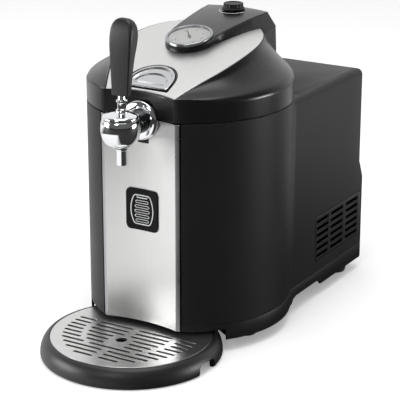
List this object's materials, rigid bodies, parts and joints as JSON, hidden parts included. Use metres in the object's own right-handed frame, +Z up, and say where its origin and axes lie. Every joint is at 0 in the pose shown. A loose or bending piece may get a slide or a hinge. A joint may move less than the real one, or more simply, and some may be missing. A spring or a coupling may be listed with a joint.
{
  "type": "mini keg beer dispenser",
  "caption": "Countertop keg cooler: round insulated barrel on a square machine box, hinged domed lid with pressure gauge, chrome lever tap and slotted drip tray.",
  "frame": {"origin": "centre of the bounding box at the level of the feet's soles", "axes": "+Z up, the tap and drip tray face -Y, +X is to the viewer's right when facing the tap"},
  "size_m": [0.2398, 0.4892, 0.3908],
  "materials": {
    "black_plastic": "fine satin moulding",
    "gloss_black": "gloss",
    "steel": "brushed",
    "chrome": "polished",
    "rubber": "matt",
    "aluminium": "satin",
    "foam": "expanded foam",
    "white_plastic": "satin",
    "silver_plastic": "metallised",
    "brass": "turned",
    "board_green": "coated board",
    "clear": "clear",
    "hose": "food-grade hose"
  },
  "bodies": {
    "cabinet": {"base": "black_plastic", "foot_front_left": "rubber", "foot_front_right": "rubber", "foot_rear_left": "rubber", "foot_rear_right": "rubber", "housing": "black_plastic", "top_cover": "black_plastic", "side_grille_left": "black_plastic", "side_grille_right": "black_plastic", "rear_panel": "black_plastic", "front_panel": "steel", "indicator_window": "gloss_black", "power_inlet": "black_plastic", "chamber": "aluminium", "insulation": "foam", "deck_ring": "black_plastic", "mouth_seal": "rubber", "cold_block": "aluminium", "peltier_module": "white_plastic", "heat_sink": "aluminium", "fan_frame": "black_plastic", "power_board": "board_green", "hinge_bracket": "steel", "hinge_pin": "steel", "tap_flange": "chrome", "tap_shank": "chrome", "shank_nut": "brass", "tap_coupling": "chrome", "tap_body": "chrome", "tap_bonnet": "chrome", "tap_spout": "chrome", "beer_line": "hose"},
    "rotor": {"fan_rotor": "black_plastic"},
    "rocker": {"power_switch": "gloss_black"},
    "lever": {"tap_lever": "chrome", "tap_handle": "black_plastic"},
    "tray": {"tray_body": "black_plastic"},
    "grille": {"drip_grille": "steel"},
    "lid": {"lid_shell": "black_plastic", "lid_plate": "steel", "hump": "black_plastic", "lid_liner": "white_plastic", "lid_hinge": "steel", "gauge_case": "black_plastic", "gauge_bezel": "chrome", "gauge_dial": "white_plastic", "gauge_lens": "clear", "regulator_body": "brass", "gas_line": "hose", "tapping_head": "black_plastic"},
    "needle": {"gauge_needle": "gloss_black"},
    "knob": {"regulator_knob": "black_plastic"},
    "button": {"release_button": "silver_plastic"},
    "latch": {"latch_fork": "steel"},
    "cartridge": {"co2_cartridge": "steel"}
  },
  "joints": [
    {"name": "lid_hinge", "type": "hinge", "parent": "cabinet", "child": "lid", "pos_m": [0, 0.121, 0.278], "axis": [-1, 0, 0], "range_deg": [0, 80]},
    {"name": "tap_lever", "type": "hinge", "parent": "cabinet", "child": "lever", "pos_m": [0, -0.1522, 0.2875], "axis": [1, 0, 0], "range_deg": [0, 32]},
    {"name": "drip_tray_slide", "type": "slide", "parent": "cabinet", "child": "tray", "axis": [0, -1, 0], "range_m": [0, 0.15]},
    {"name": "drip_grille_lift", "type": "slide", "parent": "tray", "child": "grille", "axis": [0, 0, 1], "range_m": [0, 0.0045]},
    {"name": "regulator_turn", "type": "hinge", "parent": "lid", "child": "knob", "pos_m": [0, 0.09, 0.36], "axis": [0, 0, -1], "range_deg": [0, 270]},
    {"name": "gauge_needle_turn", "type": "hinge", "parent": "lid", "child": "needle", "pos_m": [0, -0.012, 0.3467], "axis": [0, 0.2215, -0.9751], "range_deg": [0, 270]},
    {"name": "release_press", "type": "slide", "parent": "lid", "child": "button", "axis": [0, 0, -1], "range_m": [0, 0.003], "stiffness_N_per_m": 900, "springref_m": -0.001},
    {"name": "latch_slide", "type": "slide", "parent": "lid", "child": "latch", "axis": [0, 1, 0], "range_m": [0, 0.003]},
    {"name": "cartridge_lift", "type": "slide", "parent": "lid", "child": "cartridge", "axis": [0, 0, -1], "range_m": [0, 0.06]},
    {"name": "fan_spin", "type": "hinge", "parent": "cabinet", "child": "rotor", "pos_m": [0, 0.151, 0.165], "axis": [0, 1, 0], "continuous": true},
    {"name": "power_rocker", "type": "hinge", "parent": "cabinet", "child": "rocker", "pos_m": [0.055, 0.238, 0.095], "axis": [0, 0, 1], "range_deg": [0, 14]}
  ],
  "couplings": [
    {"joint": "latch_slide", "follows": "release_press", "ratio": 1}
  ]
}
